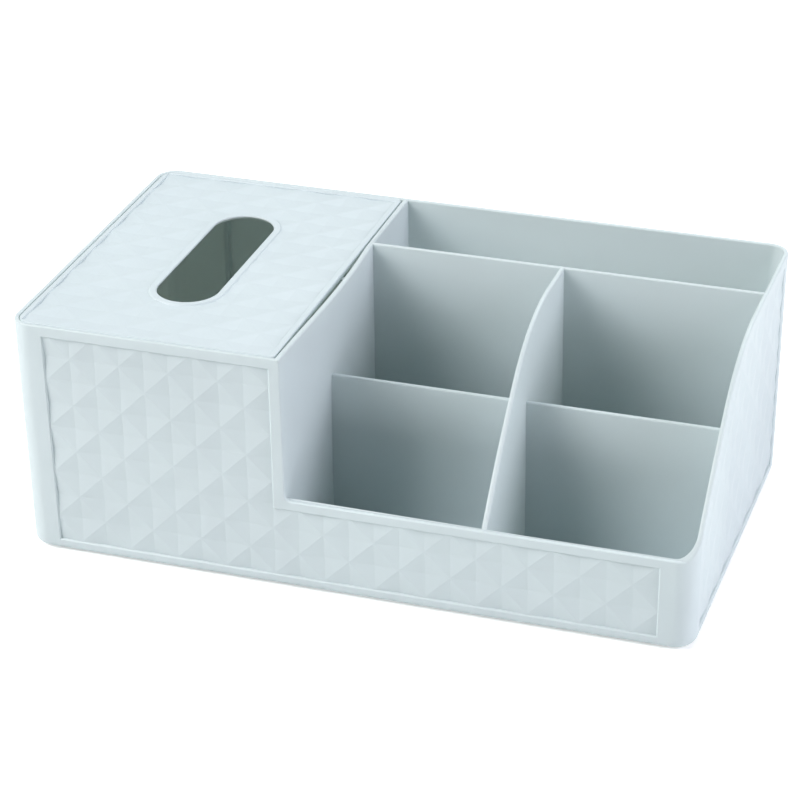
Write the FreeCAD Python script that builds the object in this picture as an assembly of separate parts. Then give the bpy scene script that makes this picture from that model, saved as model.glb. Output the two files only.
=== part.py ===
import FreeCAD, Part
import math
import os

# Makeup organizer: a moulded case with a tissue bay under a lift-off lid on the left,
# and on the right a long rear bay and four cells behind a low front wall.
# Millimetres. +X runs along the length, +Y towards the back, +Z up.
# The origin is the middle of the footprint, on the surface that the feet stand on.

# Case, measured at the rim
length = 300.0
depth = 172.5
case_height = 109.0
outer_lean = 1.5
corner_radius = 9.5
base_radius = 3.5
wall = 2.0
floor = 2.4
inner_lean = 1.9

# Bays and dividers, measured at their top edges
tissue_bay_length = 117.5
tissue_wall = 2.5
rear_bay_depth = 48.5
divider = 2.0
divider_lean = 0.4
centre_offset = 1.0
cross_divider_drop = 36.2
front_cell_depth = 59.0
floor_radius = 2.0

# Stepped front and swept side walls
front_wall_drop = 66.8
sweep_start = 74.5
sweep_radius = 75.0
sweep_angle = 40.0
sweep_bulge = 1.4
sweep_foot = 0.5
step_radius = 2.5
corner_ease = 1.5
flat_share = 0.95

# Seat of the lid: upright ribs that end under it
lid_thickness = 2.2
rib_width = 2.4
rib_reach = 2.2
rib_pitch = 56.0
rib_root = 1.2

# Lid
lid_clearance = 0.4
lid_corner_radius = 6.6
lid_small_radius = 1.6
lid_chamfer = 0.6
slot_length = 93.0
slot_width = 27.6
slot_lip = 0.8
skirt_clearance = 0.5
skirt_wall = 1.4
skirt_depth = 4.0
skirt_corner_radius = 4.0

# Anti-slip pads, seated in shallow sockets in the base
pad_diameter = 13.0
pad_thickness = 2.0
socket_depth = 1.0
socket_clearance = 0.15
pad_chamfer = 0.4
pad_inset = 17.0

# Panels of sunk diamonds on the four outer faces and the lid
diamonds_across = 12
lattice_margin = 16.2
panel_margin = 15.4
panel_gap = 5.1
low_panel_gap = 4.4
panel_foot = 5.4
lattice_foot = 5.85
panel_step_gap = 5.1
side_panel_margin = 13.75
border_depth = 0.5
diamond_depth = 0.75
lid_diamonds_across = 5
lid_panel_margin = 2.6
lid_border_depth = 0.2
lid_diamond_depth = 0.55
slot_band = 3.2

# Levels and faces that follow from them
base_z = pad_thickness - socket_depth
rim_z = base_z + case_height
floor_z = base_z + floor
seat_z = rim_z - lid_thickness
left, right = -length / 2, length / 2
front, back = -depth / 2, depth / 2
bay_left = left + wall
bay_front = front + wall
bay_back = back - wall
bay_right = right - wall
tissue_right = bay_left + tissue_bay_length
cells_left = tissue_right + tissue_wall
centre_x = (cells_left + bay_right) / 2 - centre_offset
rear_front = bay_back - rear_bay_depth
cells_back = rear_front - divider
cross_front = bay_front + front_cell_depth
cross_back = cross_front + divider
cross_z = rim_z - cross_divider_drop
front_wall_z = rim_z - front_wall_drop
bay_radius = corner_radius - wall
diamond_pitch = (length - 2 * lattice_margin) / diamonds_across
rib_height = seat_z - floor_z
outer_rib_reach = inner_lean * rib_height / (rim_z - floor_z) + rib_reach
skirt_inset = outer_rib_reach + skirt_clearance - lid_clearance
above = 5.0


def vec(x, y, z):
    return FreeCAD.Vector(x, y, z)


def flat_face(points):
    return Part.Face(Part.makePolygon(points + points[:1]))


def rectangle(x0, x1, y0, y1, z):
    return [vec(x0, y0, z), vec(x1, y0, z), vec(x1, y1, z), vec(x0, y1, z)]


def near(value, target, slack=0.02):
    return abs(value - target) < slack


def edges_where(shape, test):
    """Edges whose two end points both pass the test."""
    found = []
    for edge in shape.Edges:
        ends = [v.Point for v in edge.Vertexes]
        if len(ends) == 2 and all(test(p) for p in ends):
            found.append(edge)
    return found


def leaning_block(x0, x1, y0, y1, z0, z1, leans, radii, bottom_radius):
    """Block given by its top outline. Each side leans in by its own run towards the bottom.

    leans: left, right, front and back run from top to bottom.
    radii: upright corners front-left, front-right, back-right, back-left.
    """
    lean_left, lean_right, lean_front, lean_back = leans
    top = rectangle(x0, x1, y0, y1, z1)
    bottom = rectangle(x0 + lean_left, x1 - lean_right, y0 + lean_front, y1 - lean_back, z0)
    sides = [[bottom[i - 1], bottom[i], top[i], top[i - 1]] for i in range(len(top))]
    faces = Part.makeCompound([flat_face(points) for points in [bottom[::-1], top] + sides])
    faces.sewShape()
    block = Part.Solid(faces.Shells[0])
    corners = [(x0, y0), (x1, y0), (x1, y1), (x0, y1)]
    for (x, y), radius in zip(corners, radii):
        for edge in block.Edges:
            ends = sorted([v.Point for v in edge.Vertexes], key=lambda p: p.z)
            upright = len(ends) == 2 and near(ends[1].z, z1) and near(ends[0].z, z0)
            if radius > 0 and upright and near(ends[1].x, x) and near(ends[1].y, y):
                block = block.makeFillet(radius, [edge])
                break
    if bottom_radius > 0:
        block = block.makeFillet(bottom_radius, edges_where(block, lambda p: near(p.z, z0)))
    return block


def pocket(x0, x1, y0, y1, z0, leans, radii, top_z=None):
    """Hollow with leaning sides given at the rim, rounded along the floor, open at the top."""
    run = rim_z - floor_z
    reach = (rim_z + above - z0) / run
    over = above / run
    top = rim_z + above
    wide = [x0 - leans[0] * over, x1 + leans[1] * over, y0 - leans[2] * over, y1 + leans[3] * over]
    rounded = floor_radius if near(z0, floor_z) else 0.0
    return leaning_block(*wide, z0, top, [lean * reach for lean in leans], radii, rounded)


def case_outline():
    leans = [outer_lean] * 4
    return leaning_block(left, right, front, back, base_z, rim_z, leans, [corner_radius] * 4, base_radius)


def tissue_bay():
    leans = [inner_lean, divider_lean, inner_lean, inner_lean]
    radii = [bay_radius, 0.0, 0.0, bay_radius]
    return pocket(bay_left, tissue_right, bay_front, bay_back, floor_z, leans, radii)


def rear_bay():
    leans = [divider_lean, inner_lean, divider_lean, inner_lean]
    radii = [0.0, 0.0, bay_radius, 0.0]
    return pocket(cells_left, bay_right, rear_front, bay_back, floor_z, leans, radii)


def cell_hollows():
    """Four cells in two columns, and over each pair the open space above its cross divider."""
    hollows = []
    columns = [
        (cells_left, centre_x - divider / 2, divider_lean, divider_lean, 0.0),
        (centre_x + divider / 2, bay_right, divider_lean, inner_lean, bay_radius),
    ]
    for x0, x1, lean_left, lean_right, radius in columns:
        front_leans = [lean_left, lean_right, inner_lean, divider_lean]
        hollows.append(pocket(x0, x1, bay_front, cross_front, floor_z, front_leans,
                              [0.0, radius, 0.0, 0.0]))
        rear_leans = [lean_left, lean_right, divider_lean, divider_lean]
        hollows.append(pocket(x0, x1, cross_back, cells_back, floor_z, rear_leans, [0.0] * 4))
        whole_leans = [lean_left, lean_right, inner_lean, divider_lean]
        hollows.append(pocket(x0, x1, bay_front, cells_back, cross_z, whole_leans,
                              [0.0, radius, 0.0, 0.0]))
    return hollows


def sweep_profile(inset=0.0):
    """Side view of what is cut away above the low front wall and the swept side walls.

    With an inset, the same view grown downwards by it, for the panel under the swept rim.
    """
    start_y = back - sweep_start
    centre = vec(0, start_y, rim_z - sweep_radius)
    radius = sweep_radius - inset

    def on_first_arc(degrees):
        turn = math.radians(degrees)
        return centre + vec(0, -math.sin(turn), math.cos(turn)) * radius

    start, half, knee = [on_first_arc(degrees) for degrees in (0.0, sweep_angle / 2, sweep_angle)]
    rim_knee = centre + (knee - centre) * (sweep_radius / radius)
    rim_foot = vec(0, bay_front + sweep_foot, front_wall_z)
    chord = rim_foot - rim_knee
    outwards = vec(0, chord.z, -chord.y).normalize()
    middle = (rim_knee + rim_foot) * 0.5 + outwards * (sweep_bulge - inset)
    foot = rim_foot - outwards * inset
    arcs = [Part.Arc(start, half, knee).toShape(), Part.Arc(knee, middle, foot).toShape()]
    corners = [foot, vec(0, front - above, foot.z), vec(0, front - above, rim_z + above),
               vec(0, start_y, rim_z + above), start]
    lines = [Part.makeLine(a, b) for a, b in zip(corners, corners[1:])]
    return Part.Face(Part.Wire(Part.__sortEdges__(arcs + lines)))


def sweep_cut(inset=0.0):
    profile = sweep_profile(inset)
    profile.translate(vec(left, 0, 0))
    return profile.extrude(vec(length + above, 0, 0))


def front_step():
    """The space over the low front wall, up to the leaning right face of the tissue wall."""
    run = rim_z - floor_z
    y = front - above
    top_left = vec(cells_left - divider_lean * above / run, y, rim_z + above)
    foot_x = cells_left + divider_lean * front_wall_drop / run
    arc_start = vec(foot_x, y, front_wall_z + step_radius)
    arc_middle = vec(foot_x + step_radius * (1 - math.sqrt(0.5)), y,
                     front_wall_z + step_radius * (1 - math.sqrt(0.5)))
    arc_end = vec(foot_x + step_radius, y, front_wall_z)
    low_right = vec(right + above, y, front_wall_z)
    top_right = vec(right + above, y, rim_z + above)
    edges = [Part.makeLine(top_left, arc_start), Part.Arc(arc_start, arc_middle, arc_end).toShape(),
             Part.makeLine(arc_end, low_right), Part.makeLine(low_right, top_right),
             Part.makeLine(top_right, top_left)]
    slab = Part.Face(Part.Wire(edges)).extrude(vec(0, depth + 2 * above, 0))
    return slab.common(sweep_cut())


def diamond_field(first_column, last_column, first_row, last_row, pitch, border, sink):
    """Solid whose underside is the relief, to be cut from a face that lies in the plane z = 0.

    Columns and rows count half pitches. Where their sum is even lies the middle of a diamond, which is
    the lowest point. Where it is odd, four diamonds meet. Every diamond has four flat triangles.
    """
    half = pitch / 2

    def point(column, row):
        middle = (column + row) % 2 == 0
        return vec(column * half, row * half, -border - (sink if middle else 0.0))

    faces = []
    for column in range(first_column, last_column):
        for row in range(first_row, last_row):
            low_left, low_right = point(column, row), point(column + 1, row)
            high_left, high_right = point(column, row + 1), point(column + 1, row + 1)
            if (column + row) % 2 == 0:
                faces += [[low_left, high_left, low_right], [high_right, low_right, high_left]]
            else:
                faces += [[low_right, low_left, high_right], [high_left, high_right, low_left]]
    columns, rows = range(first_column, last_column + 1), range(first_row, last_row + 1)
    edges = [[point(column, first_row) for column in columns], [point(last_column, row) for row in rows],
             [point(column, last_row) for column in reversed(columns)],
             [point(first_column, row) for row in reversed(rows)]]
    top = []
    for edge in edges:
        lid_start, lid_end = [vec(p.x, p.y, above) for p in (edge[0], edge[-1])]
        faces.append(edge + [lid_end, lid_start])
        top.append(lid_start)
    faces.append(top)
    sewn = Part.makeCompound([flat_face(points) for points in faces])
    sewn.sewShape()
    return Part.Solid(sewn.Shells[0])


def panel_cut(outline, place, pitch, border, sink):
    """Relief inside an outline, a solid in the panel's own axes: X across, Y up, Z outwards."""
    box = outline.BoundBox
    half = pitch / 2
    counts = [math.floor(box.XMin / half) - 1, math.ceil(box.XMax / half) + 1,
              math.floor(box.YMin / half) - 1, math.ceil(box.YMax / half) + 1]
    cut = diamond_field(*counts, pitch, border, sink).common(outline)
    cut.Placement = place
    return cut


def panel_outline(points):
    """Prism through the face's plane, from a flat outline."""
    return flat_face([vec(x, y, -above) for x, y in points]).extrude(vec(0, 0, 2 * above))


def face_place(middle, across, base_height):
    """Axes of a leaning outer face: X across it, Y up along it and Z out of it. The origin is the point of
    the face's middle line at the base height, and a row of diamonds is centred there."""
    outwards = across.cross(vec(0, 0, 1))
    slope = math.atan2(outer_lean, case_height)
    up = vec(0, 0, 1) * math.cos(slope) + outwards * math.sin(slope)
    foot = middle - outwards * (outer_lean * (rim_z - base_height) / case_height) + vec(0, 0, base_height)
    return FreeCAD.Placement(foot, FreeCAD.Rotation(across, up, across.cross(up), "ZXY"))


def outer_panels():
    """Cuts for the panels of the front, the back and the two ends."""
    foot_z = base_z + lattice_foot
    foot = panel_foot - lattice_foot
    top = rim_z - panel_gap - foot_z
    low_top = front_wall_z - low_panel_gap - foot_z
    run = outer_lean / case_height

    def side(height):
        return length / 2 - panel_margin - run * (rim_z - foot_z - height)

    step_x = cells_left - panel_step_gap
    front_points = [(-side(foot), foot), (side(foot), foot), (side(low_top), low_top), (step_x, low_top),
                    (step_x, top), (-side(top), top)]
    back_points = [(-side(foot), foot), (side(foot), foot), (side(top), top), (-side(top), top)]
    half = depth / 2 - side_panel_margin
    end_outline = panel_outline([(-half, foot), (half, foot), (half, top), (-half, top)])
    place = face_place(vec(right, 0, 0), vec(0, 1, 0), foot_z)
    sweep = sweep_cut(panel_gap)
    sweep.Placement = place.inverse().multiply(sweep.Placement)
    panels = [
        (panel_outline(front_points), face_place(vec(0, front, 0), vec(1, 0, 0), foot_z)),
        (panel_outline(back_points), face_place(vec(0, back, 0), vec(-1, 0, 0), foot_z)),
        (end_outline, face_place(vec(left, 0, 0), vec(0, -1, 0), foot_z)),
        (end_outline.cut(sweep), place),
    ]
    return [panel_cut(outline, at, diamond_pitch, border_depth, diamond_depth) for outline, at in panels]


def lid_ribs():
    """Upright ribs on the walls of the tissue bay. The lid rests on their flat tops.

    On the outer walls a rib starts in the plane of the wall's inner face at the rim. The
    wall leans inwards below it, so that plane stays inside the wall all the way down.
    """
    ribs = []
    middle_x = (bay_left + tissue_right) / 2
    middle_y = (bay_front + bay_back) / 2
    inner_rib_reach = rib_root + rib_reach
    for offset in (-rib_pitch, 0.0, rib_pitch):
        y0 = middle_y + offset - rib_width / 2
        ribs.append(Part.makeBox(outer_rib_reach, rib_width, rib_height, vec(bay_left, y0, floor_z)))
        ribs.append(Part.makeBox(inner_rib_reach, rib_width, rib_height,
                                 vec(tissue_right - rib_reach, y0, floor_z)))
    for offset in (-rib_pitch / 2, rib_pitch / 2):
        x0 = middle_x + offset - rib_width / 2
        ribs.append(Part.makeBox(rib_width, outer_rib_reach, rib_height, vec(x0, bay_front, floor_z)))
        ribs.append(Part.makeBox(rib_width, outer_rib_reach, rib_height,
                                 vec(x0, bay_back - outer_rib_reach, floor_z)))
    return ribs


def pad_places():
    x = length / 2 - pad_inset
    y = depth / 2 - pad_inset
    return {"front_left": (-x, -y), "front_right": (x, -y), "rear_right": (x, y), "rear_left": (-x, y)}


def step_corner(body):
    """Upright edge of the tall front, beside the step."""
    def at_step(point):
        return (near(point.x, cells_left, divider_lean) and point.y < bay_front
                and point.z > front_wall_z + step_radius / 2)

    return [edge for edge in edges_where(body, at_step) if edge.Length > front_wall_drop / 2]


def step_ease():
    """Rounding of that edge. It runs on along the front wall's rim, so it is limited by the flat of the rim
    in front of the sweep, and more so where the sweep rises gently."""
    turn = math.radians(sweep_angle)
    knee_y = back - sweep_start - sweep_radius * math.sin(turn)
    knee_z = rim_z - sweep_radius * (1 - math.cos(turn))
    foot_y = bay_front + sweep_foot
    rise = (knee_z - front_wall_z) / (knee_y - foot_y)
    flat = foot_y - front - outer_lean * front_wall_drop / case_height
    return min(corner_ease, flat_share * flat * min(1, rise))


def organizer_body():
    body = case_outline()
    body = body.cut(tissue_bay())
    body = body.cut(rear_bay())
    for hollow in cell_hollows():
        body = body.cut(hollow)
    body = body.cut(front_step())
    body = body.makeFillet(step_ease(), step_corner(body))
    for rib in lid_ribs():
        body = body.fuse(rib)
    socket_radius = pad_diameter / 2 + socket_clearance
    for x, y in pad_places().values():
        socket = Part.makeCylinder(socket_radius, socket_depth + above, vec(x, y, base_z - above))
        body = body.cut(socket)
    for panel in outer_panels():
        body = body.cut(panel)
    return body.removeSplitter()


def stadium(cx, cy, width, run, z, height):
    """Straight-sided slot with round ends, long way along Y."""
    r = width / 2
    y = run / 2 - r
    arc_back = Part.Arc(vec(cx + r, cy + y, z), vec(cx, cy + y + r, z), vec(cx - r, cy + y, z)).toShape()
    arc_front = Part.Arc(vec(cx - r, cy - y, z), vec(cx, cy - y - r, z), vec(cx + r, cy - y, z)).toShape()
    side_left = Part.makeLine(vec(cx - r, cy + y, z), vec(cx - r, cy - y, z))
    side_right = Part.makeLine(vec(cx + r, cy - y, z), vec(cx + r, cy + y, z))
    wire = Part.Wire([arc_back, side_left, arc_front, side_right])
    return Part.Face(wire).extrude(vec(0, 0, height))


def plate(x0, x1, y0, y1, z0, z1, radii):
    return leaning_block(x0, x1, y0, y1, z0, z1, [0.0] * 4, radii, 0.0)


def tissue_lid():
    x0, x1 = bay_left + lid_clearance, tissue_right - lid_clearance
    y0, y1 = bay_front + lid_clearance, bay_back - lid_clearance
    radii = [lid_corner_radius, lid_small_radius, lid_small_radius, lid_corner_radius]
    lid = plate(x0, x1, y0, y1, seat_z, rim_z, radii)
    middle_x, middle_y = (x0 + x1) / 2, (y0 + y1) / 2
    lid = lid.cut(stadium(middle_x, middle_y, slot_width, slot_length, seat_z - above, 3 * above))
    top_edges = [edge for edge in lid.Edges if all(near(v.Z, rim_z) for v in edge.Vertexes)]
    lid = lid.makeChamfer(lid_chamfer, top_edges)
    under_slot = [edge for edge in lid.Edges
                  if all(near(v.Z, seat_z) and abs(v.X - middle_x) < slot_width for v in edge.Vertexes)]
    lid = lid.makeChamfer(lid_thickness - slot_lip, under_slot)
    half_x = (x1 - x0) / 2 - lid_panel_margin
    half_y = (y1 - y0) / 2 - lid_panel_margin
    outline = panel_outline([(-half_x, -2 * half_y), (half_x, -2 * half_y), (half_x, 0), (-half_x, 0)])
    outline = outline.cut(stadium(0, -half_y, slot_width + 2 * slot_band, slot_length + 2 * slot_band,
                                  -2 * above, 4 * above))
    place = FreeCAD.Placement(vec(middle_x, middle_y + half_y, rim_z), FreeCAD.Rotation())
    lid_pitch = 2 * half_x / lid_diamonds_across
    lid = lid.cut(panel_cut(outline, place, lid_pitch, lid_border_depth, lid_diamond_depth))
    outer = plate(x0 + skirt_inset, x1 - skirt_inset, y0 + skirt_inset, y1 - skirt_inset,
                  seat_z - skirt_depth, seat_z, [skirt_corner_radius] * 4)
    step = skirt_inset + skirt_wall
    inner = plate(x0 + step, x1 - step, y0 + step, y1 - step, seat_z - skirt_depth, seat_z,
                  [skirt_corner_radius - skirt_wall] * 4)
    return lid.fuse(outer.cut(inner)).removeSplitter()


def foot_pad(x, y):
    pad = Part.makeCylinder(pad_diameter / 2, pad_thickness, vec(x, y, 0))
    rim_edge = [edge for edge in pad.Edges if len(edge.Vertexes) == 1 and near(edge.Vertexes[0].Z, 0)]
    return pad.makeChamfer(pad_chamfer, rim_edge)


def save(shape, node):
    solids = shape.Solids
    print(node, "solids", len(solids), "volume", round(shape.Volume, 1), "valid", shape.isValid())
    shape = solids[0] if len(solids) == 1 else shape
    shape.exportStep("parts/" + node + ".step")


os.makedirs("parts", exist_ok=True)
save(organizer_body(), "organizer_body")
save(tissue_lid(), "tissue_lid")
for place, (pad_x, pad_y) in pad_places().items():
    save(foot_pad(pad_x, pad_y), "foot_pad_" + place)
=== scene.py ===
import math

import bmesh
import bpy
from mathutils import Matrix, Vector


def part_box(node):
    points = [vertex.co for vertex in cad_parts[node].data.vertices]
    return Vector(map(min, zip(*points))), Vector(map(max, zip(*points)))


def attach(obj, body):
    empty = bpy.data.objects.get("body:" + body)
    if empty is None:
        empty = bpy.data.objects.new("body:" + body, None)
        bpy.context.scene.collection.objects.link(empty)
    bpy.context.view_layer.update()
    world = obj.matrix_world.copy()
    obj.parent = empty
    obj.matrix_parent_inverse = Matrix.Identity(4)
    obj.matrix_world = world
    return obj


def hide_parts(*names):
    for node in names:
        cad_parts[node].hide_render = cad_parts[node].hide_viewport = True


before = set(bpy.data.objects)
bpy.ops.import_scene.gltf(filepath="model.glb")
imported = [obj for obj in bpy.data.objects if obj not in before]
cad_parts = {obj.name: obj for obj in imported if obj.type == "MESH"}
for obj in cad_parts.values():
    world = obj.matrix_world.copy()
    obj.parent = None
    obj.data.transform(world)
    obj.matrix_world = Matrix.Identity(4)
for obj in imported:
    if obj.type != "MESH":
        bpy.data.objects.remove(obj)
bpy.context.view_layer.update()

# All sizes are in millimetres. Meshes are made in metres.
MM = 0.001


def in_mm(corners):
    return [corner / MM for corner in corners]


case_low, case_high = in_mm(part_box("organizer_body"))
lid_low, lid_high = in_mm(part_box("tissue_lid"))
BASE_Z, RIM_Z = case_low.z, case_high.z
CASE_HEIGHT = RIM_Z - BASE_Z
LEFT, RIGHT, FRONT, BACK = case_low.x, case_high.x, case_low.y, case_high.y

# Case: the same design sizes as the solid
OUTER_LEAN = 1.5
CORNER_RADIUS = 9.5
BASE_RADIUS = 3.5
WALL = 2.0
FLOOR = 2.4
INNER_LEAN = 1.9
TISSUE_WALL = 2.5
REAR_BAY_DEPTH = 48.5
DIVIDER = 2.0
DIVIDER_LEAN = 0.4
CENTRE_OFFSET = 1.0
CROSS_DIVIDER_DROP = 36.2
FRONT_CELL_DEPTH = 59.0
FLOOR_RADIUS = 2.0
FRONT_WALL_DROP = 66.8
SWEEP_START = 74.5
SWEEP_RADIUS = 75.0
SWEEP_ANGLE = 40.0
SWEEP_BULGE = 1.4
SWEEP_FOOT = 0.5
STEP_RADIUS = 2.5
RIM_RADIUS = 0.8

# Lid and the ribs that it rests on
LID_CLEARANCE = 0.4
LID_THICKNESS = 2.2
LID_CORNER_RADIUS = 6.6
LID_SMALL_RADIUS = 1.6
LID_EDGE_RADIUS = 0.6
SLOT_LENGTH = 93.0
SLOT_WIDTH = 27.6
SLOT_LIP = 0.8
RIB_WIDTH = 2.4
RIB_REACH = 2.2
RIB_PITCH = 56.0
RIB_ROOT = 1.2
RIB_CORNER_RADIUS = 0.5
SKIRT_CLEARANCE = 0.5
SKIRT_WALL = 1.4
SKIRT_DEPTH = 4.0
SKIRT_CORNER_RADIUS = 4.0

# Panels of sunk diamonds
DIAMONDS_ACROSS = 12
LATTICE_MARGIN = 16.2
PANEL_MARGIN = 15.4
PANEL_GAP = 5.1
LOW_PANEL_GAP = 4.4
PANEL_FOOT = 5.4
LATTICE_FOOT = 5.85
PANEL_STEP_GAP = 5.1
SIDE_PANEL_MARGIN = 13.75
BORDER_DEPTH = 0.5
BORDER_RUN = 0.5
DIAMOND_DEPTH = 0.75
LID_DIAMONDS_ACROSS = 5
LID_PANEL_MARGIN = 2.6
LID_BORDER_DEPTH = 0.35
LID_BORDER_RUN = 0.35
LID_DIAMOND_DEPTH = 0.55
SLOT_BAND = 3.2

# The tall wall beside the tissue bay bows towards the cells between the front and the rear divider
BOW = 1.8
BOW_LOWEST = 30.0
BOW_SKEW = 1.35
BOW_FRONT, BOW_BACK = -84.0, 34.0

# Foot pads
PAD_EDGE_RADIUS = 0.4

FLOOR_Z = BASE_Z + FLOOR
BAY_LEFT, BAY_RIGHT = LEFT + WALL, RIGHT - WALL
BAY_FRONT, BAY_BACK = FRONT + WALL, BACK - WALL
TISSUE_RIGHT = lid_high.x + LID_CLEARANCE
CELLS_LEFT = TISSUE_RIGHT + TISSUE_WALL
CENTRE_X = (CELLS_LEFT + BAY_RIGHT) / 2 - CENTRE_OFFSET
REAR_FRONT = BAY_BACK - REAR_BAY_DEPTH
CELLS_BACK = REAR_FRONT - DIVIDER
CROSS_FRONT = BAY_FRONT + FRONT_CELL_DEPTH
CROSS_BACK = CROSS_FRONT + DIVIDER
CROSS_Z = RIM_Z - CROSS_DIVIDER_DROP
FRONT_WALL_Z = RIM_Z - FRONT_WALL_DROP
BAY_RADIUS = CORNER_RADIUS - WALL
SEAT_Z = RIM_Z - LID_THICKNESS
PITCH = (RIGHT - LEFT - 2 * LATTICE_MARGIN) / DIAMONDS_ACROSS
ABOVE = 5.0
SUNK = 0.3
HAIR = 0.01

# Columns and rows of the sheets of diamonds that the panels are cut with, and how many pitches the middle of
# a sheet lies above the foot of the outer panels' lattice, or in front of the rear edge of the lid's panel
LONG_COLUMNS, SHORT_COLUMNS, PANEL_ROWS = 14, 8, 6
LID_COLUMNS, LID_ROWS = 6, 10
SHEET_RISE, LID_SHEET_DROP = 2, 4

# Steps on round stretches, and between the cuts that let the wall beside the tissue bay bend
CORNER_STEPS = 14
ROUND_STEPS = 6
SWEEP_STEPS = 28
RIM_STEPS = 3
BOW_STEP_ALONG = 6
BOW_STEP_UP = 10

# Limits for the meshes: the least corner radius, the distances at which two points become one, and the
# distance that keeps a cut or a choice clear of the next edge. The turns between two faces, in degrees, are
# those up to which they are one flat or are shaded smooth, and that from which their edge is a rim
LEAST_RADIUS = 0.3
WELD = 0.02
FINE_WELD = 0.001
CLEAR = 1.0
FLAT_TURN = 0.2
SMOOTH_TURN = 30
RIM_TURN = 50


def new_object(name, bm):
    mesh = bpy.data.meshes.new(name)
    bm.to_mesh(mesh)
    bm.free()
    piece = bpy.data.objects.new(name, mesh)
    bpy.context.scene.collection.objects.link(piece)
    return piece


def discard(piece):
    mesh = piece.data
    bpy.data.objects.remove(piece)
    bpy.data.meshes.remove(mesh)


def settle(piece):
    """Puts the result of the piece's modifiers into its mesh."""
    bpy.context.view_layer.update()
    graph = bpy.context.evaluated_depsgraph_get()
    mesh = bpy.data.meshes.new_from_object(piece.evaluated_get(graph))
    old = piece.data
    piece.modifiers.clear()
    piece.data = mesh
    bpy.data.meshes.remove(old)
    mesh.name = piece.name


def carve(piece, tools, operation="DIFFERENCE"):
    for tool in tools:
        modifier = piece.modifiers.new(tool.name, "BOOLEAN")
        modifier.operation = operation
        modifier.solver = "EXACT"
        modifier.object = tool
    settle(piece)
    for tool in tools:
        discard(tool)


def rounded_ring(x0, x1, y0, y1, z, radii):
    """Points of a rounded rectangle, anticlockwise from its front-left corner."""
    corners = [(x0, y0, 1, 1, 180), (x1, y0, -1, 1, 270), (x1, y1, -1, -1, 0), (x0, y1, 1, -1, 90)]
    ring = []
    for (x, y, inwards_x, inwards_y, start), radius in zip(corners, radii):
        steps = CORNER_STEPS if radius > 0 else 0
        for step in range(steps + 1):
            turn = math.radians(start + 90 * step / max(steps, 1))
            ring.append((x + radius * (inwards_x + math.cos(turn)),
                         y + radius * (inwards_y + math.sin(turn)), z))
    return ring


def loft(name, rings):
    bm = bmesh.new()
    loops = [[bm.verts.new(Vector(point) * MM) for point in ring] for ring in rings]
    for low, high in zip(loops, loops[1:]):
        for i in range(len(low)):
            bm.faces.new((low[i - 1], low[i], high[i], high[i - 1]))
    bm.faces.new(loops[0][::-1])
    bm.faces.new(loops[-1])
    for face in bm.faces:
        face.smooth = True
    return new_object(name, bm)


def leaning_block(name, x0, x1, y0, y1, z0, z1, leans, radii, bottom_radius):
    """Block given by its top outline, each side leaning in by its own run, with a rounded bottom edge."""
    def ring_at(z, inset):
        share = (z1 - z) / (z1 - z0)
        left, right, front, back = [lean * share + inset for lean in leans]
        smaller = [max(radius - inset, LEAST_RADIUS) if radius > 0 else 0.0 for radius in radii]
        return rounded_ring(x0 + left, x1 - right, y0 + front, y1 - back, z, smaller)

    rings = []
    for step in range(ROUND_STEPS + 1):
        turn = math.radians(90 * step / ROUND_STEPS)
        rings.append(ring_at(z0 + bottom_radius * (1 - math.cos(turn)),
                             bottom_radius * (1 - math.sin(turn))))
    rings.append(ring_at(z1, 0.0))
    return loft(name, rings)


def pocket(name, x0, x1, y0, y1, z0, leans, radii, bottom_radius):
    """Hollow with leaning sides given at the rim, open at the top."""
    run = RIM_Z - FLOOR_Z
    over = ABOVE / run
    reach = (RIM_Z + ABOVE - z0) / run
    wide = (x0 - leans[0] * over, x1 + leans[1] * over, y0 - leans[2] * over, y1 + leans[3] * over)
    return leaning_block(name, *wide, z0, RIM_Z + ABOVE, [lean * reach for lean in leans], radii,
                         bottom_radius)


def prism(name, outline, along):
    """Closed prism of a flat outline, moved along a vector."""
    bm = bmesh.new()
    face = bm.faces.new([bm.verts.new(Vector(point) * MM) for point in outline])
    made = bmesh.ops.extrude_face_region(bm, geom=[face])
    moved = [item for item in made["geom"] if isinstance(item, bmesh.types.BMVert)]
    bmesh.ops.translate(bm, verts=moved, vec=Vector(along) * MM)
    bmesh.ops.recalc_face_normals(bm, faces=bm.faces)
    for face in bm.faces:
        face.smooth = True
    return new_object(name, bm)


def grown(outline, distance):
    """Flat anticlockwise outline with every side moved outwards."""
    points = []
    for i, point in enumerate(outline):
        here = Vector(point)
        before = (here - Vector(outline[i - 1])).normalized()
        after = (Vector(outline[(i + 1) % len(outline)]) - here).normalized()
        out_before, out_after = Vector((before.y, -before.x)), Vector((after.y, -after.x))
        mitre = (out_before + out_after) / (1 + out_before.dot(out_after))
        points.append(here + mitre * distance)
    return points


def flared(name, outline, z0, z1, level, slope):
    """Solid whose flat outline holds at a level and grows upwards by the slope."""
    return loft(name, [[(x, y, z) for x, y in grown(outline, (z - level) * slope)] for z in (z0, z1)])


def arc(centre, radius, start, end, steps):
    """Points (y, z) on an arc, with angles in degrees from +Y towards +Z."""
    points = []
    for step in range(steps + 1):
        turn = math.radians(start + (end - start) * step / steps)
        points.append((centre[0] + radius * math.cos(turn), centre[1] + radius * math.sin(turn)))
    return points


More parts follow.
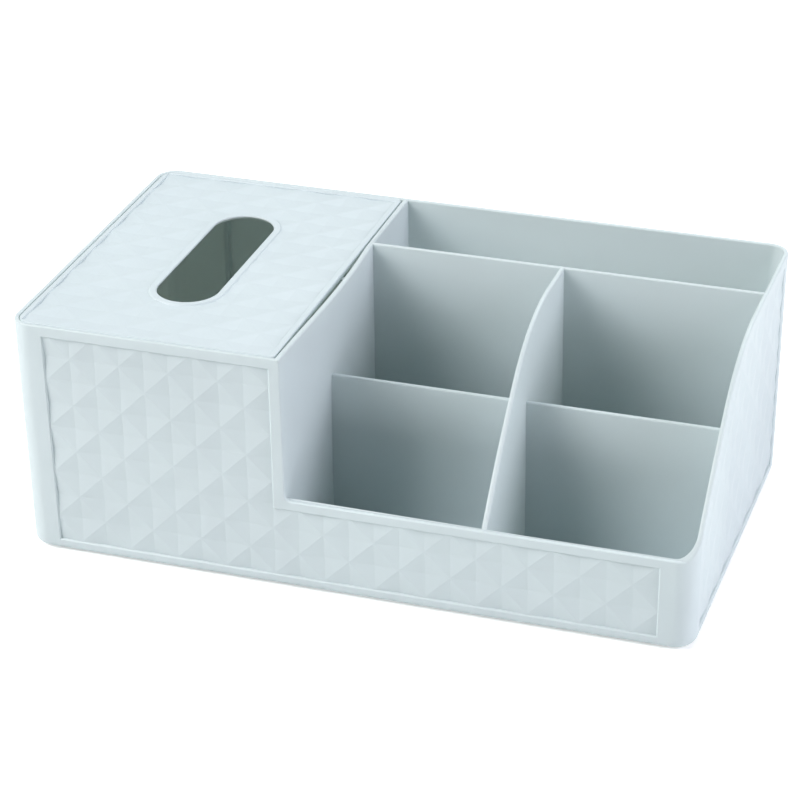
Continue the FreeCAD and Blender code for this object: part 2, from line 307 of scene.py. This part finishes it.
def sweep_line(inset=0.0):
    """The swept rim in side view, from the level rim forwards and down to the front wall."""
    start_y = BACK - SWEEP_START
    centre = (start_y, RIM_Z - SWEEP_RADIUS)
    first = arc(centre, SWEEP_RADIUS - inset, 90, 90 + SWEEP_ANGLE, SWEEP_STEPS)
    turn = math.radians(90 + SWEEP_ANGLE)
    knee = Vector((centre[0] + SWEEP_RADIUS * math.cos(turn), centre[1] + SWEEP_RADIUS * math.sin(turn)))
    foot = Vector((BAY_FRONT + SWEEP_FOOT, FRONT_WALL_Z))
    half = (foot - knee).length / 2
    radius = (half * half + SWEEP_BULGE * SWEEP_BULGE) / (2 * SWEEP_BULGE)
    inwards = Vector((knee.y - foot.y, foot.x - knee.x)).normalized()
    middle = (knee + foot) / 2 + inwards * (radius - SWEEP_BULGE)
    start = math.degrees(math.atan2(knee.y - middle.y, knee.x - middle.x))
    end = math.degrees(math.atan2(foot.y - middle.y, foot.x - middle.x))
    second = arc(middle, radius - inset, start, end, SWEEP_STEPS // 2)
    return first + second[1:]


def front_step():
    """What is open over the low front wall and the swept walls, right of the tissue bay."""
    outline = sweep_line()
    outline += [(FRONT - ABOVE, FRONT_WALL_Z), (FRONT - ABOVE, RIM_Z + ABOVE),
                (outline[0][0], RIM_Z + ABOVE)]
    side = prism("side_view", [(LEFT, y, z) for y, z in outline], (RIGHT - LEFT + ABOVE, 0, 0))
    run = RIM_Z - FLOOR_Z
    at_rim = CELLS_LEFT - DIVIDER_LEAN * ABOVE / run
    at_wall = CELLS_LEFT + DIVIDER_LEAN * FRONT_WALL_DROP / run
    corner = arc((at_wall + STEP_RADIUS, FRONT_WALL_Z + STEP_RADIUS), STEP_RADIUS, 180, 270, ROUND_STEPS)
    view = [(at_rim, RIM_Z + ABOVE)] + corner
    view += [(RIGHT + ABOVE, FRONT_WALL_Z), (RIGHT + ABOVE, RIM_Z + ABOVE)]
    slab = prism("front_view", [(x, FRONT - ABOVE, z) for x, z in view], (0, BACK - FRONT + 2 * ABOVE, 0))
    carve(slab, [side], "INTERSECT")
    return slab


def case_hollows():
    """Tissue bay, rear bay and the two columns of cells."""
    outer, inner = INNER_LEAN, DIVIDER_LEAN
    round_corner = BAY_RADIUS
    hollows = [
        (BAY_LEFT, TISSUE_RIGHT, BAY_FRONT, BAY_BACK, [outer, inner, outer, outer],
         [round_corner, 0.0, 0.0, round_corner]),
        (CELLS_LEFT, BAY_RIGHT, REAR_FRONT, BAY_BACK, [inner, outer, inner, outer],
         [0.0, 0.0, round_corner, 0.0]),
        (CELLS_LEFT, CENTRE_X - DIVIDER / 2, BAY_FRONT, CELLS_BACK, [inner, inner, outer, inner],
         [0.0] * 4),
        (CENTRE_X + DIVIDER / 2, BAY_RIGHT, BAY_FRONT, CELLS_BACK, [inner, outer, outer, inner],
         [0.0, round_corner, 0.0, 0.0]),
    ]
    return [pocket("hollow", x0, x1, y0, y1, FLOOR_Z, leans, radii, FLOOR_RADIUS)
            for x0, x1, y0, y1, leans, radii in hollows]


def cross_divider():
    """The low divider across both columns of cells, rounded into the floor at its foot."""
    run = RIM_Z - FLOOR_Z
    top_spread = DIVIDER_LEAN * (RIM_Z - CROSS_Z) / run
    foot_spread = DIVIDER_LEAN * (RIM_Z - FLOOR_Z - FLOOR_RADIUS) / run
    centre_z = FLOOR_Z + FLOOR_RADIUS
    front_foot = arc((CROSS_FRONT - foot_spread - FLOOR_RADIUS, centre_z), FLOOR_RADIUS, 270, 360,
                     ROUND_STEPS)
    back_foot = arc((CROSS_BACK + foot_spread + FLOOR_RADIUS, centre_z), FLOOR_RADIUS, 180, 270,
                    ROUND_STEPS)
    outline = [(front_foot[0][0], FLOOR_Z - SUNK)] + front_foot
    outline += [(CROSS_FRONT - top_spread, CROSS_Z), (CROSS_BACK + top_spread, CROSS_Z)]
    outline += back_foot + [(back_foot[-1][0], FLOOR_Z - SUNK)]
    start = CELLS_LEFT - TISSUE_WALL / 2
    return prism("cross_divider", [(start, y, z) for y, z in outline], (BAY_RIGHT - start, 0, 0))


def round_rims(piece, radius, lowest, chosen=None):
    """Rounds the sharp outside edges of the piece above a level, or those of them that are chosen."""
    bm = bmesh.new()
    bm.from_mesh(piece.data)
    bmesh.ops.remove_doubles(bm, verts=bm.verts, dist=WELD * MM)
    bmesh.ops.dissolve_degenerate(bm, edges=bm.edges, dist=WELD * MM)
    bmesh.ops.dissolve_limit(bm, angle_limit=math.radians(FLAT_TURN), verts=bm.verts, edges=bm.edges)
    sharp = math.radians(RIM_TURN)
    rims = [edge for edge in bm.edges
            if edge.is_manifold and edge.calc_face_angle_signed() > sharp
            and min(vert.co.z for vert in edge.verts) > lowest * MM
            and (chosen is None or chosen(edge))]
    bmesh.ops.bevel(bm, geom=rims, offset=radius * MM, segments=RIM_STEPS, profile=0.5,
                    affect="EDGES", clamp_overlap=False)
    bm.to_mesh(piece.data)
    bm.free()


def lid_ribs():
    """Upright ribs in the tissue bay. Their flat tops carry the lid."""
    outer_reach = INNER_LEAN * (SEAT_Z - FLOOR_Z) / (RIM_Z - FLOOR_Z) + RIB_REACH
    middle_x, middle_y = (BAY_LEFT + TISSUE_RIGHT) / 2, (BAY_FRONT + BAY_BACK) / 2
    half = RIB_WIDTH / 2
    r = RIB_CORNER_RADIUS
    places = []
    for offset in (-RIB_PITCH, 0.0, RIB_PITCH):
        y0, y1 = middle_y + offset - half, middle_y + offset + half
        places.append((BAY_LEFT, BAY_LEFT + outer_reach, y0, y1, [0.0, r, r, 0.0]))
        places.append((TISSUE_RIGHT - RIB_REACH, TISSUE_RIGHT + RIB_ROOT, y0, y1, [r, 0.0, 0.0, r]))
    for offset in (-RIB_PITCH / 2, RIB_PITCH / 2):
        x0, x1 = middle_x + offset - half, middle_x + offset + half
        places.append((x0, x1, BAY_FRONT, BAY_FRONT + outer_reach, [0.0, 0.0, r, r]))
        places.append((x0, x1, BAY_BACK - outer_reach, BAY_BACK, [r, r, 0.0, 0.0]))
    return [loft("rib", [rounded_ring(x0, x1, y0, y1, z, radii) for z in (FLOOR_Z - SUNK, SEAT_Z)])
            for x0, x1, y0, y1, radii in places]


def not_on_rib(edge):
    return all(v.co.x > TISSUE_RIGHT * MM or v.co.z > (RIM_Z - CLEAR) * MM for v in edge.verts)


def bow_tissue_wall(piece):
    """Bows the wall beside the tissue bay towards the cells, most at the rim and about half way along."""
    bm = bmesh.new()
    bm.from_mesh(piece.data)
    low_x, high_x = (TISSUE_RIGHT - RIB_REACH - CLEAR) * MM, (CELLS_LEFT + CLEAR) * MM
    planes = [((0, y * MM, 0), (0, 1, 0))
              for y in range(round(BOW_FRONT), round(BOW_BACK) + 1, BOW_STEP_ALONG)]
    planes += [((0, 0, z * MM), (0, 0, 1))
               for z in range(round(BOW_LOWEST), round(RIM_Z), BOW_STEP_UP)]
    for place, normal in planes:
        faces = [face for face in bm.faces
                 if min(v.co.x for v in face.verts) < high_x and max(v.co.x for v in face.verts) > low_x]
        edges = {edge for face in faces for edge in face.edges}
        verts = {vert for face in faces for vert in face.verts}
        bmesh.ops.bisect_plane(bm, geom=[*verts, *edges, *faces], dist=FINE_WELD * MM, plane_co=place,
                               plane_no=normal)
    for vert in bm.verts:
        x, y, z = vert.co / MM
        share = (y - BOW_FRONT) / (BOW_BACK - BOW_FRONT)
        if low_x < vert.co.x < high_x and 0 < share < 1 and z > BOW_LOWEST:
            rise = ((z - BOW_LOWEST) / (RIM_Z - BOW_LOWEST)) ** 2
            vert.co.x += BOW * MM * math.sin(math.pi * share ** BOW_SKEW) * rise
    bm.to_mesh(piece.data)
    bm.free()


def diamond_tree():
    """Geometry nodes for a sheet of sunk diamonds. Its ridges lie in the plane z = 0 and its middle is
    the middle of a diamond when the numbers of columns and rows are even."""
    tree = bpy.data.node_groups.new("sunk_diamonds", "GeometryNodeTree")
    kinds = {"Pitch": "Float", "Depth": "Float", "Columns": "Int", "Rows": "Int", "Material": "Material"}
    for name, kind in kinds.items():
        tree.interface.new_socket(name, in_out="INPUT", socket_type="NodeSocket" + kind)
    tree.interface.new_socket("Geometry", in_out="OUTPUT", socket_type="NodeSocketGeometry")
    given = add(tree, "NodeGroupInput").outputs
    half = add(tree, "ShaderNodeMath", {0: given["Pitch"], 1: 0.5}, operation="MULTIPLY")
    cone = add(tree, "GeometryNodeMeshCone",
               {"Vertices": 4, "Radius Top": 0.0, "Radius Bottom": half.outputs[0], "Depth": given["Depth"]},
               fill_type="NONE")
    upside_down = add(tree, "GeometryNodeTransform",
                      {"Geometry": cone.outputs["Mesh"], "Scale": (1, 1, -1)})
    diamond = add(tree, "GeometryNodeFlipFaces", {"Mesh": upside_down.outputs["Geometry"]})
    joined = add(tree, "GeometryNodeJoinGeometry")
    for fewer in (0.0, 1.0):
        cells = [add(tree, "ShaderNodeMath", {0: given[name], 1: fewer}, operation="SUBTRACT").outputs[0]
                 for name in ("Columns", "Rows")]
        sizes = [add(tree, "ShaderNodeMath", {0: count, 1: given["Pitch"]}, operation="MULTIPLY").outputs[0]
                 for count in cells]
        points = [add(tree, "ShaderNodeMath", {0: count, 1: 1.0}, operation="ADD").outputs[0]
                  for count in cells]
        grid = add(tree, "GeometryNodeMeshGrid", {"Size X": sizes[0], "Size Y": sizes[1],
                                                  "Vertices X": points[0], "Vertices Y": points[1]})
        tree.links.new(grid.outputs["Mesh"], joined.inputs[0])
    placed = add(tree, "GeometryNodeInstanceOnPoints", {"Points": joined.outputs[0],
                                                        "Instance": diamond.outputs["Mesh"]})
    real = add(tree, "GeometryNodeRealizeInstances", {"Geometry": placed.outputs["Instances"]})
    dressed = add(tree, "GeometryNodeSetMaterial", {"Geometry": real.outputs["Geometry"],
                                                    "Material": given["Material"]})
    add(tree, "NodeGroupOutput", {"Geometry": dressed.outputs["Geometry"]})
    return tree


def panel_tool(name, tree, outline, place, size, shift, pitch, border, run, depth, material):
    """Block to cut a panel with. Its underside is the relief, inside an outline in the panel's own axes."""
    piece = new_object(name, bmesh.new())
    modifier = piece.modifiers.new("sunk_diamonds", "NODES")
    modifier.node_group = tree
    values = {"Pitch": pitch * MM, "Depth": depth * MM, "Columns": size[0], "Rows": size[1],
              "Material": material}
    for item in tree.interface.items_tree:
        if item.in_out == "INPUT":
            modifier[item.identifier] = values[item.name]
    settle(piece)
    bm = bmesh.new()
    bm.from_mesh(piece.data)
    bmesh.ops.remove_doubles(bm, verts=bm.verts, dist=FINE_WELD * MM)
    bmesh.ops.translate(bm, verts=bm.verts, vec=Vector((HAIR, shift * pitch - HAIR, -border)) * MM)
    made = bmesh.ops.extrude_face_region(bm, geom=bm.faces[:])
    upper = [item for item in made["geom"] if isinstance(item, bmesh.types.BMVert)]
    bmesh.ops.translate(bm, verts=upper, vec=Vector((0, 0, 2 * ABOVE)) * MM)
    bmesh.ops.recalc_face_normals(bm, faces=bm.faces)
    for face in bm.faces:
        face.smooth = False
    bm.to_mesh(piece.data)
    bm.free()
    edge = HAIR - border
    levels = [(edge - depth - SUNK, 0.0), (edge, 0.0), (SUNK, run * (1 + SUNK / border))]
    wall = loft("outline", [[(x, y, z) for x, y in grown(outline, wider)] for z, wider in levels])
    carve(piece, [wall], "INTERSECT")
    piece.data.transform(place)
    return piece


def face_place(middle, across, base_height):
    """Axes of a leaning outer face: X across it, Y up along it, Z out of it, starting at a height."""
    across = Vector(across)
    outwards = across.cross(Vector((0, 0, 1)))
    slope = math.atan2(OUTER_LEAN, CASE_HEIGHT)
    up = Vector((0, 0, 1)) * math.cos(slope) + outwards * math.sin(slope)
    foot = Vector(middle) - outwards * (OUTER_LEAN * (RIM_Z - base_height) / CASE_HEIGHT)
    foot.z = base_height
    turn = Matrix((across, up, across.cross(up))).transposed()
    return Matrix.Translation(foot * MM) @ turn.to_4x4()


def outer_panels(tree, material):
    foot_z = BASE_Z + LATTICE_FOOT
    foot = PANEL_FOOT - LATTICE_FOOT
    top = RIM_Z - PANEL_GAP - foot_z
    low_top = FRONT_WALL_Z - LOW_PANEL_GAP - foot_z
    run = OUTER_LEAN / CASE_HEIGHT

    def side(height):
        return (RIGHT - LEFT) / 2 - PANEL_MARGIN - run * (RIM_Z - foot_z - height)

    step_x = CELLS_LEFT - PANEL_STEP_GAP
    front = [(-side(foot), foot), (side(foot), foot), (side(low_top), low_top), (step_x, low_top),
             (step_x, top), (-side(top), top)]
    back = [(-side(foot), foot), (side(foot), foot), (side(top), top), (-side(top), top)]
    half = (BACK - FRONT) / 2 - SIDE_PANEL_MARGIN
    left = [(-half, foot), (half, foot), (half, top), (-half, top)]
    swept = [(y, z - foot_z) for y, z in sweep_line(PANEL_GAP)]
    inside = [point for point in swept if point[0] > -half]
    first_out = swept[len(inside)]
    share = (inside[-1][0] + half) / (inside[-1][0] - first_out[0])
    clipped = (-half, inside[-1][1] + share * (first_out[1] - inside[-1][1]))
    right = [(-half, foot), (half, foot), (half, top)] + inside + [clipped]
    places = [
        (front, face_place((0, FRONT, 0), (1, 0, 0), foot_z), LONG_COLUMNS),
        (back, face_place((0, BACK, 0), (-1, 0, 0), foot_z), LONG_COLUMNS),
        (left, face_place((LEFT, 0, 0), (0, -1, 0), foot_z), SHORT_COLUMNS),
        (right, face_place((RIGHT, 0, 0), (0, 1, 0), foot_z), SHORT_COLUMNS),
    ]
    return [panel_tool("panel", tree, outline, place, (columns, PANEL_ROWS), SHEET_RISE, PITCH, BORDER_DEPTH,
                       BORDER_RUN, DIAMOND_DEPTH, material) for outline, place, columns in places]


def organizer_body(tree, material):
    body = leaning_block("organizer_case", LEFT, RIGHT, FRONT, BACK, BASE_Z, RIM_Z,
                         [OUTER_LEAN] * 4, [CORNER_RADIUS] * 4, BASE_RADIUS)
    carve(body, case_hollows())
    carve(body, [cross_divider()], "UNION")
    carve(body, [front_step()])
    carve(body, lid_ribs(), "UNION")
    round_rims(body, RIM_RADIUS, BASE_Z + BASE_RADIUS + CLEAR, not_on_rib)
    bow_tissue_wall(body)
    carve(body, outer_panels(tree, material))
    finish(body, material)
    return body


def stadium(cx, cy, width, run, z):
    """Points of a slot's outline with round ends, long way along Y."""
    r = width / 2
    y = run / 2 - r
    outline = []
    for centre_y, start in ((cy + y, 0), (cy - y, 180)):
        for step in range(2 * CORNER_STEPS + 1):
            turn = math.radians(start + 90 * step / CORNER_STEPS)
            outline.append((cx + r * math.cos(turn), centre_y + r * math.sin(turn), z))
    return outline


def tissue_lid(tree, material):
    x0, x1, y0, y1 = lid_low.x, lid_high.x, lid_low.y, lid_high.y
    radii = [LID_CORNER_RADIUS, LID_SMALL_RADIUS, LID_SMALL_RADIUS, LID_CORNER_RADIUS]
    lid = loft("tissue_cover", [rounded_ring(x0, x1, y0, y1, z, radii) for z in (SEAT_Z, RIM_Z)])
    cx, cy = (x0 + x1) / 2, (y0 + y1) / 2
    slot = prism("slot", stadium(cx, cy, SLOT_WIDTH, SLOT_LENGTH, SEAT_Z - ABOVE), (0, 0, 3 * ABOVE))
    carve(lid, [slot])
    round_rims(lid, LID_EDGE_RADIUS, SEAT_Z + CLEAR / 2)
    lip_z = RIM_Z - SLOT_LIP
    flat_slot = [point[:2] for point in stadium(cx, cy, SLOT_WIDTH, SLOT_LENGTH, 0.0)]
    carve(lid, [flared("undercut", flat_slot, SEAT_Z - SUNK, lip_z, lip_z, -1.0)])
    half_x, half_y = (x1 - x0) / 2 - LID_PANEL_MARGIN, (y1 - y0) / 2 - LID_PANEL_MARGIN
    outline = [(-half_x, -2 * half_y), (half_x, -2 * half_y), (half_x, 0), (-half_x, 0)]
    place = Matrix.Translation(Vector((cx, cy + half_y, RIM_Z)) * MM)
    pitch = 2 * half_x / LID_DIAMONDS_ACROSS
    panel = panel_tool("panel", tree, outline, place, (LID_COLUMNS, LID_ROWS), -LID_SHEET_DROP, pitch,
                       LID_BORDER_DEPTH, LID_BORDER_RUN, LID_DIAMOND_DEPTH, material)
    band = [point[:2] for point in stadium(cx, cy, SLOT_WIDTH + 2 * SLOT_BAND,
                                           SLOT_LENGTH + 2 * SLOT_BAND, 0.0)]
    carve(panel, [flared("band", band, SEAT_Z, RIM_Z + ABOVE, RIM_Z - LID_BORDER_DEPTH,
                         -LID_BORDER_RUN / LID_BORDER_DEPTH)])
    carve(lid, [panel])
    outer_reach = INNER_LEAN * (SEAT_Z - FLOOR_Z) / (RIM_Z - FLOOR_Z) + RIB_REACH
    inset = outer_reach + SKIRT_CLEARANCE - LID_CLEARANCE
    wide = (x0 + inset, x1 - inset, y0 + inset, y1 - inset)
    skirt = loft("skirt", [rounded_ring(*wide, z, [SKIRT_CORNER_RADIUS] * 4)
                           for z in (SEAT_Z - SKIRT_DEPTH, SEAT_Z + SUNK)])
    narrow = (wide[0] + SKIRT_WALL, wide[1] - SKIRT_WALL, wide[2] + SKIRT_WALL, wide[3] - SKIRT_WALL)
    inner = loft("skirt_inside", [rounded_ring(*narrow, z, [SKIRT_CORNER_RADIUS - SKIRT_WALL] * 4)
                                  for z in (SEAT_Z - SKIRT_DEPTH - CLEAR, SEAT_Z + CLEAR)])
    carve(skirt, [inner])
    carve(lid, [skirt], "UNION")
    finish(lid, material)
    return lid


def foot_pad(node, name, material):
    """Round pad with an eased lower edge."""
    low, high = in_mm(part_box(node))
    cx, cy, radius = (low.x + high.x) / 2, (low.y + high.y) / 2, (high.x - low.x) / 2
    rings = []
    for step in range(ROUND_STEPS + 1):
        turn = math.radians(90 * step / ROUND_STEPS)
        inset = PAD_EDGE_RADIUS * (1 - math.sin(turn))
        r = radius - inset
        rings.append(rounded_ring(cx - r, cx + r, cy - r, cy + r,
                                  low.z + PAD_EDGE_RADIUS * (1 - math.cos(turn)), [r] * 4))
    rings.append(rounded_ring(cx - radius, cx + radius, cy - radius, cy + radius, high.z, [radius] * 4))
    pad = loft(name, rings)
    bm = bmesh.new()
    bm.from_mesh(pad.data)
    bmesh.ops.remove_doubles(bm, verts=bm.verts, dist=FINE_WELD * MM)
    bm.to_mesh(pad.data)
    bm.free()
    finish(pad, material)
    return pad


def finish(piece, material):
    """Keeps the relief's facets flat, shades the rest smooth and sets the material."""
    mesh = piece.data
    flat = [polygon.index for polygon in mesh.polygons if not polygon.use_smooth]
    mesh.shade_smooth()
    mesh.set_sharp_from_angle(angle=math.radians(SMOOTH_TURN))
    edge_of = {key: index for index, key in enumerate(mesh.edge_keys)}
    for index in flat:
        for key in mesh.polygons[index].edge_keys:
            mesh.edges[edge_of[key]].use_edge_sharp = True
    modifier = piece.modifiers.new("weights", "WEIGHTED_NORMAL")
    modifier.keep_sharp = True
    settle(piece)
    piece.data.materials.clear()
    piece.data.materials.append(material)


# Share of the light that passes through the plastic
SHINE_THROUGH = 0.2

# Patterns of the plastic and the rubber, in millimetres. The mould's real grain is about 0.1 across, too fine
# to show, so it is drawn five times as coarse
CLOUD_SIZE = 38.0
WEAR_SIZE = 4.0
GRAIN_SIZE = 0.5
GRAIN_DEPTH = 0.03
DUST_SIZE = 1.5
DUST_DEPTH = 0.05


def linear(code):
    """Linear colour of an sRGB hex code."""
    parts = [int(code[i:i + 2], 16) / 255 for i in (0, 2, 4)]
    return [c / 12.92 if c <= 0.04045 else ((c + 0.055) / 1.055) ** 2.4 for c in parts] + [1.0]


def add(tree, kind, inputs=None, **settings):
    """Adds a node with its settings, and sets or links its inputs."""
    node = tree.nodes.new(kind)
    for name, value in settings.items():
        setattr(node, name, value)
    for name, value in (inputs or {}).items():
        if isinstance(value, bpy.types.NodeSocket):
            tree.links.new(value, node.inputs[name])
        else:
            node.inputs[name].default_value = value
    return node


def per_metre(size):
    """Texture scale for a pattern whose features are a number of millimetres across."""
    return 1 / (size * MM)


def moulded_plastic(name, pale, deep, glow):
    """Injection-moulded polypropylene. The fine spark-eroded grain gives the broad satin sheen, the faint
    cloudy change of tint is the uneven cooling of thick and thin stretches, and a little light comes through
    the thin walls, so the closed tissue bay isn't black inside but a dim grey-green."""
    material = bpy.data.materials.new(name)
    material.use_nodes = True
    tree = material.node_tree
    tree.nodes.clear()
    coords = add(tree, "ShaderNodeTexCoord").outputs["Object"]
    cloud = add(tree, "ShaderNodeTexNoise", {"Vector": coords, "Scale": per_metre(CLOUD_SIZE), "Detail": 2.0})
    tint = add(tree, "ShaderNodeValToRGB", {"Fac": cloud.outputs["Fac"]})
    tint.color_ramp.elements[0].position = 0.3
    tint.color_ramp.elements[0].color = linear(deep)
    tint.color_ramp.elements[1].position = 0.7
    tint.color_ramp.elements[1].color = linear(pale)
    wear = add(tree, "ShaderNodeTexNoise", {"Vector": coords, "Scale": per_metre(WEAR_SIZE), "Detail": 3.0})
    rough = add(tree, "ShaderNodeMapRange", {"Value": wear.outputs["Fac"], "To Min": 0.38, "To Max": 0.52})
    grain = add(tree, "ShaderNodeTexNoise", {"Vector": coords, "Scale": per_metre(GRAIN_SIZE), "Detail": 2.0})
    bump = add(tree, "ShaderNodeBump", {"Height": grain.outputs["Fac"], "Strength": 0.5,
                                        "Distance": GRAIN_DEPTH * MM})
    surface = add(tree, "ShaderNodeBsdfPrincipled",
                  {"Base Color": tint.outputs["Color"], "Roughness": rough.outputs["Result"], "IOR": 1.49,
                   "Normal": bump.outputs["Normal"]})
    through = add(tree, "ShaderNodeBsdfTranslucent", {"Color": linear(glow)})
    both = add(tree, "ShaderNodeMixShader", {"Fac": SHINE_THROUGH})
    tree.links.new(surface.outputs["BSDF"], both.inputs[1])
    tree.links.new(through.outputs["BSDF"], both.inputs[2])
    add(tree, "ShaderNodeOutputMaterial", {"Surface": both.outputs["Shader"]})
    return material


def soft_rubber(name, pale, deep):
    """Clear-grey anti-slip rubber, moulded with a coarse grain, so it looks dull and slightly dusty."""
    material = bpy.data.materials.new(name)
    material.use_nodes = True
    tree = material.node_tree
    tree.nodes.clear()
    coords = add(tree, "ShaderNodeTexCoord").outputs["Object"]
    dust = add(tree, "ShaderNodeTexNoise", {"Vector": coords, "Scale": per_metre(DUST_SIZE), "Detail": 4.0})
    tint = add(tree, "ShaderNodeValToRGB", {"Fac": dust.outputs["Fac"]})
    tint.color_ramp.elements[0].position = 0.35
    tint.color_ramp.elements[0].color = linear(deep)
    tint.color_ramp.elements[1].position = 0.65
    tint.color_ramp.elements[1].color = linear(pale)
    bump = add(tree, "ShaderNodeBump", {"Height": dust.outputs["Fac"], "Strength": 0.4,
                                        "Distance": DUST_DEPTH * MM})
    surface = add(tree, "ShaderNodeBsdfPrincipled",
                  {"Base Color": tint.outputs["Color"], "Roughness": 0.8, "IOR": 1.45,
                   "Normal": bump.outputs["Normal"]})
    add(tree, "ShaderNodeOutputMaterial", {"Surface": surface.outputs["BSDF"]})
    return material


case_plastic = moulded_plastic("polypropylene_satin", "CFDBE0", "CCD8DD", "E4EBE0")
lid_plastic = moulded_plastic("polypropylene_satin_lid", "D1DDE3", "CEDAE0", "E4EBE0")
pad_rubber = soft_rubber("anti_slip_rubber", "A6ADB0", "969DA1")


def seen_directly(tree):
    """One for the rays that show the white studio itself: to the camera, in gloss and through the plastic."""
    path = add(tree, "ShaderNodeLightPath")
    rays = path.outputs["Is Camera Ray"]
    for kind in ("Is Glossy Ray", "Is Transmission Ray"):
        rays = add(tree, "ShaderNodeMath", {0: rays, 1: path.outputs[kind]}, operation="MAXIMUM").outputs[0]
    return rays



diamonds = diamond_tree()
case = organizer_body(diamonds, case_plastic)
lid = tissue_lid(diamonds, lid_plastic)
pieces = [(case, "case", "organizer_body", "case_plastic"), (lid, "lid", "tissue_lid", "lid_plastic")]
for corner in ("front_left", "front_right", "rear_right", "rear_left"):
    node = "foot_pad_" + corner
    pieces.append((foot_pad(node, "pad_" + corner, pad_rubber), "case", node, "pad_rubber"))
for piece, body, node, slot in pieces:
    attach(piece, body)
    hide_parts(node)

# Stage, in metres
FLOOR_HALF = 0.9
floor_bm = bmesh.new()
corners = ((-FLOOR_HALF, -FLOOR_HALF), (FLOOR_HALF, -FLOOR_HALF), (FLOOR_HALF, FLOOR_HALF),
           (-FLOOR_HALF, FLOOR_HALF))
floor_bm.faces.new([floor_bm.verts.new((x, y, 0)) for x, y in corners])
studio_floor = new_object("studio_floor", floor_bm)
paper = bpy.data.materials.new("studio_paper")
paper.use_nodes = True
tree = paper.node_tree
tree.nodes.clear()
matt = add(tree, "ShaderNodeBsdfDiffuse", {"Color": linear("F4F6F6")})
glow = add(tree, "ShaderNodeEmission", {"Color": linear("FFFFFF"), "Strength": 0.35})
bounce = add(tree, "ShaderNodeEmission", {"Color": linear("FFFFFF"), "Strength": 0.05})
seen = add(tree, "ShaderNodeMixShader", {"Fac": seen_directly(tree)})
tree.links.new(bounce.outputs[0], seen.inputs[1])
tree.links.new(glow.outputs[0], seen.inputs[2])
both = add(tree, "ShaderNodeAddShader")
tree.links.new(matt.outputs[0], both.inputs[0])
tree.links.new(seen.outputs[0], both.inputs[1])
add(tree, "ShaderNodeOutputMaterial", {"Surface": both.outputs[0]})
studio_floor.data.materials.append(paper)

# The world is white to the rays that see the studio directly and dark to the rest, so that the lamps light
# the case
world = bpy.data.worlds.new("studio")
bpy.context.scene.world = world
world.use_nodes = True
tree = world.node_tree
tree.nodes.clear()
ambient = add(tree, "ShaderNodeBackground", {"Color": linear("FFFFFF"), "Strength": 0.0})
white = add(tree, "ShaderNodeBackground", {"Color": linear("FFFFFF"), "Strength": 1.0})
mixed = add(tree, "ShaderNodeMixShader", {"Fac": seen_directly(tree)})
tree.links.new(ambient.outputs[0], mixed.inputs[1])
tree.links.new(white.outputs[0], mixed.inputs[2])
add(tree, "ShaderNodeOutputWorld", {"Surface": mixed.outputs[0]})


def softbox(name, place, target, size, power, colour):
    lamp = bpy.data.lights.new(name, "AREA")
    lamp.shape = "RECTANGLE"
    lamp.size, lamp.size_y = size
    lamp.energy = power
    lamp.color = linear(colour)[:3]
    holder = bpy.data.objects.new(name, lamp)
    holder.location = place
    holder.rotation_euler = (Vector(target) - Vector(place)).to_track_quat("-Z", "Y").to_euler()
    bpy.context.scene.collection.objects.link(holder)


# Lamps: place, middle of the case, size, power in watts and colour
AIM = (0, 0, 0.05)
softbox("key_left_front", (-1.0, -0.9, 1.3), AIM, (1.0, 1.0), 25.0, "FFFFFF")
softbox("key_left", (-1.5, -0.8, 0.9), AIM, (1.0, 1.0), 17.8, "FFF8F4")
softbox("fill_right", (1.5, -0.1, 0.7), AIM, (1.0, 1.0), 22.0, "FCF7FF")
softbox("rim_back", (0.1, 1.1, 1.4), AIM, (1.2, 1.0), 15.8, "F8FFFF")

# Camera, found by matching the case's edges in the photograph
CAMERA_PLACE = Vector((0.3473, -1.0492, 0.6329))
CAMERA_AZIMUTH = 18.551
CAMERA_ELEVATION = 27.691
CAMERA_ROLL = -0.668
CAMERA_LENS = 127.4

azimuth, elevation = math.radians(CAMERA_AZIMUTH), math.radians(CAMERA_ELEVATION)
backwards = Vector((math.sin(azimuth) * math.cos(elevation), -math.cos(azimuth) * math.cos(elevation),
                    math.sin(elevation)))
sideways = (-backwards).cross(Vector((0, 0, 1))).normalized()
upwards = sideways.cross(-backwards)
level = Matrix((sideways, upwards, backwards)).transposed()
roll = Matrix.Rotation(math.radians(CAMERA_ROLL), 3, "Z")
lens = bpy.data.cameras.new("camera")
lens.lens = CAMERA_LENS
lens.sensor_width = 36
camera = bpy.data.objects.new("camera", lens)
camera.matrix_world = Matrix.Translation(CAMERA_PLACE) @ (level @ roll).to_4x4()
bpy.context.scene.collection.objects.link(camera)
bpy.context.scene.camera = camera
bpy.context.scene.view_settings.view_transform = "Standard"
